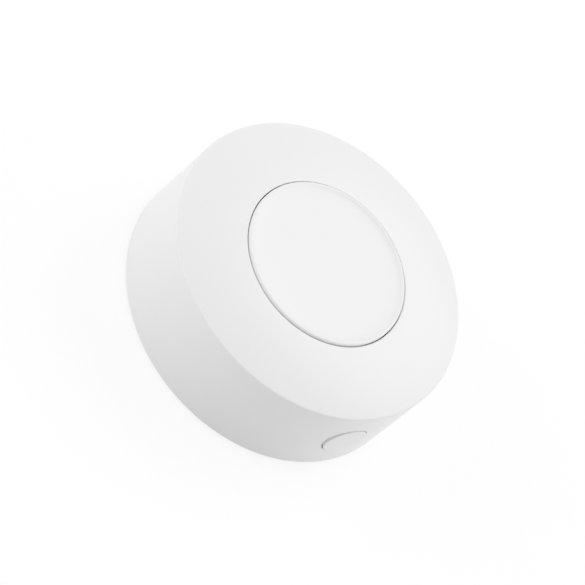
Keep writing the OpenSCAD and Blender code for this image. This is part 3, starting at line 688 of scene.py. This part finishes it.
def sink_coin_slot(bm, sizes, rim):
    """Closes the rear face inside a ring of edges, with the coin slot sunk in it as a pit pulled long."""
    half, edge, rear = sizes.slot_width / 2, sizes.slot_round, COVER_LOW.z
    # Half a step round, so that no point of the pit lies where it is pulled apart
    turned = Matrix.Rotation(WHOLE_TURN / TURN_STEPS / 2, 4, "Z")
    place = Matrix.Translation((0, 0, rear + sizes.slot_depth)) @ turned
    mouth = bmesh.ops.create_circle(bm, segments=TURN_STEPS, radius=half + edge, matrix=place)["verts"]
    loop, pit = set(mouth), set(mouth)
    bmesh.ops.bridge_loops(bm, edges=rim + loop_edges(loop))
    bmesh.ops.translate(bm, vec=(0, 0, -sizes.slot_depth), verts=mouth)
    turns = steps_between(0, RIGHT_ANGLE, EDGE_STEPS)
    levels = [(half + edge * (1 - math.sin(turn)), edge * (1 - math.cos(turn))) for turn in turns[1:]]
    for radius, depth in [*levels, (half, sizes.slot_depth)]:
        loop = extrude_loop(bm, loop)
        pit |= loop
        for vert in loop:
            vert.co = (*vert.co.xy.normalized() * radius, rear + depth)
    bmesh.ops.edgeloop_fill(bm, edges=loop_edges(loop))
    for vert in pit:
        vert.co.x += math.copysign((sizes.slot_length - sizes.slot_width) / 2, vert.co.x)


def cover_features(sizes):
    """Lugs that hold the cover and the ring that backs the coin cell, then the ribs between them."""
    ring, foot = sizes.backing / 2, sizes.plate - OVER
    ring_top = sizes.plate + sizes.backing_height
    lug_inner, tab_foot, top = sizes.lug_outer - sizes.lug_wall, COVER_HIGH.z - sizes.tab, COVER_HIGH.z
    lug = [(lug_inner, foot), (sizes.lug_outer, foot), (sizes.lug_outer, tab_foot)]
    lug += [(sizes.tab_outer, tab_foot), (sizes.tab_outer, top), (lug_inner, top)]
    half = sizes.backing_width / 2
    seats, braces = bmesh.new(), bmesh.new()
    spin_section(seats, rectangle(ring - half, ring + half, foot, ring_top), closed=True)
    for turn in LUG_TURNS:
        add_sector(seats, lug, turn, sizes.lug_span)
        add_box(braces, turn, (ring, -half, foot), (lug_inner + sizes.lug_wall / 2, half, ring_top))
    return seats, braces


class PUSHBUTTON_OT_rear_cover(Operator):
    """Makes the twist-off rear cover with its coin slot, lugs and backing ring"""

    bl_idname = "push_button.rear_cover"
    bl_label = "Rear Cover"

    def execute(self, context):
        sizes = context.scene.button_cover
        outer, rear = sizes.diameter / 2, COVER_LOW.z
        field = (outer + sizes.slot_length / 2) / 2
        bm = bmesh.new()
        spin_section(bm, [(field, rear), (outer, rear), (outer, sizes.plate), (0, sizes.plate)])
        round_edges(bm, ring_edges(bm, outer, rear), sizes.edge_round)
        sink_coin_slot(bm, sizes, ring_edges(bm, field, rear))
        piece = new_object("cover_shell", bm)
        for solids in cover_features(sizes):
            combine(piece, solids, "UNION")
        finish_shell(piece, "cover", "rear_cover")
        return {"FINISHED"}


def set_socket(tree, socket, value):
    """Sets a socket to a value, or links another socket to it."""
    if isinstance(value, NodeSocket):
        tree.links.new(value, socket)
    else:
        socket.default_value = value


def add_node(tree, kind, sockets=None, **settings):
    """Adds a node, sets its options, and sets or links its sockets."""
    node = tree.nodes.new(kind)
    for name, value in settings.items():
        setattr(node, name, value)
    for name, value in (sockets or {}).items():
        set_socket(tree, node.inputs[name], value)
    return node


def calculate(tree, operation, *values):
    """Result of a step of arithmetic on values or sockets."""
    return add_node(tree, "ShaderNodeMath", dict(enumerate(values)), operation=operation).outputs["Value"]


def object_place(tree, scale=(1, 1, 1)):
    """Object coordinates, stretched by a scale."""
    place = add_node(tree, "ShaderNodeTexCoord").outputs["Object"]
    return add_node(tree, "ShaderNodeMapping", {"Vector": place, "Scale": scale}).outputs["Vector"]


def noise(tree, place, size, detail=2):
    """Noise with features of a size in metres."""
    sockets = {"Vector": place, "Scale": 1 / size, "Detail": detail}
    return add_node(tree, "ShaderNodeTexNoise", sockets).outputs["Fac"]


def between(tree, value, low, high):
    """Spreads the middle of a noise between two values."""
    sockets = {"Value": value, "From Min": NOISE_LOW, "From Max": NOISE_HIGH, "To Min": low, "To Max": high}
    return add_node(tree, "ShaderNodeMapRange", sockets).outputs["Result"]


def blend_colours(tree, value, low, high, start=NOISE_LOW, end=NOISE_HIGH):
    """A colour that goes from one to another as a value goes from start to end."""
    ramp = add_node(tree, "ShaderNodeValToRGB", {"Fac": value})
    first, last = ramp.color_ramp.elements
    first.position, last.position = start, end
    first.color, last.color = (*low, 1), (*high, 1)
    return ramp.outputs["Color"]


def shaded(value, share):
    """A colour made darker or lighter by a share."""
    return [min(1, channel * share) for channel in value]


def bump(tree, height, depth):
    """Normals of a relief of a depth in metres."""
    sockets = {"Height": height, "Distance": depth, "Strength": 1}
    return add_node(tree, "ShaderNodeBump", sockets).outputs["Normal"]


def shared_finish(build):
    """Makes a finish the first time that it is asked for, and gives the same material after that."""

    def finish():
        made = bpy.data.materials.get(build.__name__)
        if made is None:
            made = bpy.data.materials.new(build.__name__)
            made.use_nodes = True
            build(made.node_tree, made.node_tree.nodes["Principled BSDF"], bpy.context.scene.button_finishes)
        return made

    return finish


def connect(tree, shader, **sockets):
    """Sets or links the shader's sockets, named with underscores for spaces."""
    for name, value in sockets.items():
        set_socket(tree, shader.inputs[name.replace("_", " ")], value)


def moulded_plastic(tree, shader, looks, base, roughness, tone_spread, gloss_spread=0.05):
    """Moulded plastic: a fine even grain, with a faint change of tone and gloss over the surface."""
    place = object_place(tree)
    flow = noise(tree, place, size=0.012, detail=3)
    grain = noise(tree, place, looks.grain, detail=4)
    connect(
        tree,
        shader,
        Base_Color=blend_colours(tree, flow, shaded(base, 1 - tone_spread), shaded(base, 1 + tone_spread)),
        Roughness=between(tree, grain, roughness - gloss_spread, roughness + gloss_spread),
        Normal=bump(tree, grain, looks.grain_depth),
    )


@shared_finish
def moulded_white(tree, shader, looks):
    """White plastic of the shells."""
    moulded_plastic(tree, shader, looks, looks.shell, looks.shell_roughness, tone_spread=0.004)


@shared_finish
def black_resin(tree, shader, looks):
    """Glass-filled black plastic."""
    moulded_plastic(tree, shader, looks, looks.black, roughness=0.5, tone_spread=0.15)


@shared_finish
def grey_resin(tree, shader, looks):
    """Grey plastic of the plungers."""
    moulded_plastic(tree, shader, looks, looks.grey, roughness=0.42, tone_spread=0.08)


@shared_finish
def rolled_steel(tree, shader, looks):
    """Stamped sheet with the fine lines of its rolling."""
    lines = noise(tree, object_place(tree, scale=(1, 40, 40)), size=0.002, detail=4)
    stains = noise(tree, object_place(tree), size=0.004, detail=3)
    connect(
        tree,
        shader,
        Base_Color=blend_colours(tree, stains, shaded(looks.steel, 0.88), shaded(looks.steel, 1.08)),
        Metallic=1,
        Roughness=between(tree, lines, low=0.2, high=0.36),
        Normal=bump(tree, lines, depth=0.000002),
    )


@shared_finish
def plated_gold(tree, shader, looks):
    """Thin gold over copper, dull where it is thin."""
    wear = noise(tree, object_place(tree), size=0.0006, detail=4)
    connect(
        tree,
        shader,
        Base_Color=blend_colours(tree, wear, shaded(looks.gold, 0.8), shaded(looks.gold, 1.1)),
        Metallic=1,
        Roughness=between(tree, wear, low=0.25, high=0.45),
    )


@shared_finish
def solder_mask(tree, shader, looks):
    """Green mask over copper tracks that stand out a little."""
    place = object_place(tree)
    cells = add_node(
        tree,
        "ShaderNodeTexVoronoi",
        {"Vector": place, "Scale": TRACKS_PER_METRE, "Randomness": 0.75},
        distance="CHEBYCHEV",
        feature="DISTANCE_TO_EDGE",
    ).outputs["Distance"]
    tint = noise(tree, place, size=0.001, detail=3)
    connect(
        tree,
        shader,
        Base_Color=blend_colours(tree, cells, looks.mask_dark, looks.mask, start=0.05, end=0.09),
        Roughness=between(tree, tint, low=0.24, high=0.36),
        Coat_Weight=0.3,
        Normal=bump(tree, cells, depth=0.00002),
    )


def tinned_ends(tree, shader, looks, body, half):
    """A small part in the ring on the board, with tinned ends beyond half of its body's length."""
    level = object_place(tree, scale=(1, 1, 0))
    distance = add_node(tree, "ShaderNodeVectorMath", {0: level}, operation="LENGTH").outputs["Value"]
    aside = calculate(tree, "ABSOLUTE", calculate(tree, "SUBTRACT", distance, PARTS_RING))
    ends = calculate(tree, "GREATER_THAN", aside, half)
    grain = noise(tree, object_place(tree), size=0.0001, detail=3)
    connect(
        tree,
        shader,
        Base_Color=blend_colours(tree, ends, body, looks.solder),
        Metallic=ends,
        Roughness=between(tree, grain, low=0.3, high=0.5),
        Normal=bump(tree, grain, depth=0.000004),
    )


@shared_finish
def capacitor_body(tree, shader, looks):
    """Brown ceramic with tinned ends."""
    tinned_ends(tree, shader, looks, looks.ceramic, half=0.0006)


@shared_finish
def resistor_body(tree, shader, looks):
    """Black glaze with tinned ends."""
    tinned_ends(tree, shader, looks, looks.black, half=0.0005)


@shared_finish
def clear_lens(tree, shader, looks):
    """Pale resin of the status light."""
    haze = noise(tree, object_place(tree), size=0.0004)
    connect(
        tree,
        shader,
        Base_Color=blend_colours(tree, haze, shaded(looks.lens, 0.94), looks.lens),
        Roughness=between(tree, haze, low=0.08, high=0.16),
        Transmission_Weight=0.35,
        Coat_Weight=0.5,
    )


def dress(material, *nodes):
    """Gives packed nodes a finish."""
    for node in nodes:
        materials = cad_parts[node].data.materials
        materials.clear()
        materials.append(material)


class PUSHBUTTON_OT_coin_cell(Operator):
    """Finishes the coin cell, its holder and its contacts"""

    bl_idname = "push_button.coin_cell"
    bl_label = "Coin Cell"

    def execute(self, context):
        dress(rolled_steel(), "cell_can", "cell_lid", "positive_contact", "negative_contact")
        dress(black_resin(), "cell_gasket", "battery_holder")
        dress(grey_resin(), "cell_core")
        return {"FINISHED"}


def snap_section(foot, low, high, sheet):
    """Section of a snap dome: a shallow spherical sheet that stands on its foot."""
    rise = high - low
    outer = (foot**2 + rise**2) / (2 * rise)
    inner, middle = outer - sheet, high - outer
    section = []
    for radius, direction in ((outer, 1), (inner, -1)):
        turns = steps_between(0, math.acos((low - middle) / radius), SNAP_STEPS)
        for turn in turns[::direction]:
            section.append((radius * math.sin(turn), middle + radius * math.cos(turn)))
    return section


def add_snap_dome(node, sheet, place):
    """Makes a switch's snap dome, a fixed shallow sheet on its foot."""
    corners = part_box(node)
    foot, top = sorted((place.inverted() @ corner).z for corner in corners)
    bm = bmesh.new()
    spin_section(bm, snap_section(corners[1].x, foot, top, sheet))
    bmesh.ops.transform(bm, matrix=place, verts=bm.verts)
    piece = new_object(f"{node}_sheet", bm)
    settle(piece, rolled_steel(), "housing", node)
    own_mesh(piece)


class PUSHBUTTON_OT_switches(Operator):
    """Makes the snap domes of the main switch and the side switch, and finishes both switches"""

    bl_idname = "push_button.switches"
    bl_label = "Switches"

    def execute(self, context):
        sizes = context.scene.button_snaps
        domes = (
            ("main_switch_dome", Matrix(), "main_plunger_press", (0, 0, 1), sizes.main_travel),
            ("side_switch_dome", ON_KEY_AXIS, "side_plunger_press", (0, 1, 0), sizes.side_travel),
        )
        for node, place, joint, axis, travel in domes:
            add_snap_dome(node, sizes.sheet, place)
        for switch in ("main_switch", "side_switch"):
            dress(black_resin(), f"{switch}_base")
            dress(grey_resin(), f"{switch}_plunger")
            dress(rolled_steel(), f"{switch}_frame", f"{switch}_terminals")
        return {"FINISHED"}


class PUSHBUTTON_OT_electronics(Operator):
    """Finishes the circuit board, its screws, the radio module and the small parts"""

    bl_idname = "push_button.electronics"
    bl_label = "Electronics"

    def execute(self, context):
        dress(solder_mask(), "circuit_board", "radio_board")
        dress(rolled_steel(), "board_screws", "radio_shield")
        dress(black_resin(), "radio_chip")
        dress(plated_gold(), "radio_antenna")
        dress(capacitor_body(), "capacitors")
        dress(resistor_body(), "resistors")
        dress(clear_lens(), "status_led")
        return {"FINISHED"}


def seen_directly(tree):
    """1 for the camera and for what is seen in gloss or through glass, 0 for light that is thrown on."""
    rays = add_node(tree, "ShaderNodeLightPath").outputs
    seen = rays["Is Camera Ray"]
    for ray in ("Is Glossy Ray", "Is Transmission Ray"):
        seen = calculate(tree, "MAXIMUM", seen, rays[ray])
    return seen


def bare_tree(owner):
    """The emptied node tree of a material or a world."""
    owner.use_nodes = True
    owner.node_tree.nodes.clear()
    return owner.node_tree


def matt_paint(tree, share):
    """A matt grey that throws back a share of the light."""
    return add_node(tree, "ShaderNodeBsdfDiffuse", {"Color": (share, share, share, 1)}).outputs[0]


def white_floor(look):
    """Floor that looks white, with a faint shadow, and lights the button evenly from below."""
    material = bpy.data.materials.new("white_floor")
    tree = bare_tree(material)
    glow = add_node(tree, "ShaderNodeEmission", {"Color": WHITE, "Strength": look.floor_glow}).outputs[0]
    shadowed = matt_paint(tree, 1 - look.floor_glow + FLOOR_SPARE)
    shown = add_node(tree, "ShaderNodeAddShader", {0: glow, 1: shadowed}).outputs[0]
    bounce = matt_paint(tree, look.floor_bounce)
    surface = add_node(tree, "ShaderNodeMixShader", {0: seen_directly(tree), 1: bounce, 2: shown}).outputs[0]
    add_node(tree, "ShaderNodeOutputMaterial", {"Surface": surface})
    return material


def white_world(look):
    """World that looks white and gives an even fill light."""
    world = bpy.data.worlds.new("white_world")
    tree = bare_tree(world)
    sockets = {"Value": seen_directly(tree), "To Min": look.fill, "To Max": 1}
    strength = add_node(tree, "ShaderNodeMapRange", sockets).outputs["Result"]
    background = add_node(tree, "ShaderNodeBackground", {"Color": WHITE, "Strength": strength}).outputs[0]
    add_node(tree, "ShaderNodeOutputWorld", {"Surface": background})
    return world


def place_camera(scene, look, middle):
    """Makes the camera, aimed beside the middle of the crease by its offset."""
    camera = bpy.data.objects.new("camera", bpy.data.cameras.new("camera"))
    scene.collection.objects.link(camera)
    camera.data.lens = look.focal
    turn = Matrix.Rotation(look.azimuth, 4, "Z") @ Matrix.Rotation(RIGHT_ANGLE - look.elevation, 4, "X")
    roll = Matrix.Rotation(look.roll, 4, "Z")
    camera.matrix_world = middle @ turn @ roll @ Matrix.Translation((*look.offset, look.distance))
    scene.camera = camera


def lay_floor(look):
    """Makes the round white floor."""
    bm = bmesh.new()
    bmesh.ops.create_circle(
        bm,
        cap_ends=True,
        segments=POST_SIDES,
        radius=look.floor_radius,
        matrix=Matrix.Translation((0, 0, -look.floor_gap)),
    )
    floor = new_object("floor", bm)
    floor.data.materials.append(white_floor(look))


def hang_lamp(scene, look, middle, name, azimuth, elevation, irradiance, gloss):
    """Makes a square lamp that faces the button."""
    lamp = bpy.data.objects.new(name, bpy.data.lights.new(name, "AREA"))
    scene.collection.objects.link(lamp)
    lamp.data.size = look.lamp_side
    lamp.data.energy = math.pi * look.lamp_distance**2 * irradiance
    lamp.visible_glossy = gloss
    turn = Matrix.Rotation(math.radians(azimuth), 4, "Z")
    aim = turn @ Matrix.Rotation(math.radians(90 - elevation), 4, "Y")
    lamp.matrix_world = middle @ aim @ Matrix.Translation((0, 0, look.lamp_distance))


class PUSHBUTTON_OT_stage(Operator):
    """Makes the camera, the white floor, the soft lamps and the even fill light"""

    bl_idname = "push_button.stage"
    bl_label = "Stage"

    def execute(self, context):
        scene, look = context.scene, context.scene.button_stage
        middle = Matrix.Translation((0, 0, scene.button_housing.crease))
        place_camera(scene, look, middle)
        lay_floor(look)
        for lamp in LAMPS:
            hang_lamp(scene, look, middle, *lamp)
        scene.world = white_world(look)
        scene.view_settings.view_transform = "Standard"
        return {"FINISHED"}


SETTINGS = {
    "button_housing": HousingSizes,
    "button_cap": CapSizes,
    "button_key": KeySizes,
    "button_cover": CoverSizes,
    "button_snaps": SnapSizes,
    "button_finishes": Finishes,
    "button_stage": StageLook,
}

OPERATORS = (
    PUSHBUTTON_OT_housing,
    PUSHBUTTON_OT_press_cap,
    PUSHBUTTON_OT_side_key,
    PUSHBUTTON_OT_rear_cover,
    PUSHBUTTON_OT_coin_cell,
    PUSHBUTTON_OT_switches,
    PUSHBUTTON_OT_electronics,
    PUSHBUTTON_OT_stage,
)


class PUSHBUTTON_PT_panel(Panel):
    """Lists the settings and the operators of the push button"""

    bl_label = "Push Button"
    bl_idname = "PUSHBUTTON_PT_panel"
    bl_space_type = "VIEW_3D"
    bl_region_type = "UI"
    bl_category = "Push Button"

    def draw(self, context):
        for name, group in SETTINGS.items():
            box = self.layout.box()
            box.label(text=group.__doc__)
            for setting in group.__annotations__:
                box.prop(getattr(context.scene, name), setting)
        for operator in OPERATORS:
            self.layout.operator(operator.bl_idname)


CLASSES = (*SETTINGS.values(), *OPERATORS, PUSHBUTTON_PT_panel)


def register():
    """Registers the classes and gives the scene their settings."""
    for item in CLASSES:
        bpy.utils.register_class(item)
    for name, group in SETTINGS.items():
        setattr(Scene, name, PointerProperty(type=group))


def unregister():
    """Takes away what register gave."""
    for name in SETTINGS:
        delattr(Scene, name)
    for item in reversed(CLASSES):
        bpy.utils.unregister_class(item)


def main():
    """Registers the add-on and makes every piece and the stage."""
    register()
    bpy.ops.push_button.housing()
    bpy.ops.push_button.press_cap()
    bpy.ops.push_button.side_key()
    bpy.ops.push_button.rear_cover()
    bpy.ops.push_button.coin_cell()
    bpy.ops.push_button.switches()
    bpy.ops.push_button.electronics()
    bpy.ops.push_button.stage()


if __name__ == "__main__":
    main()
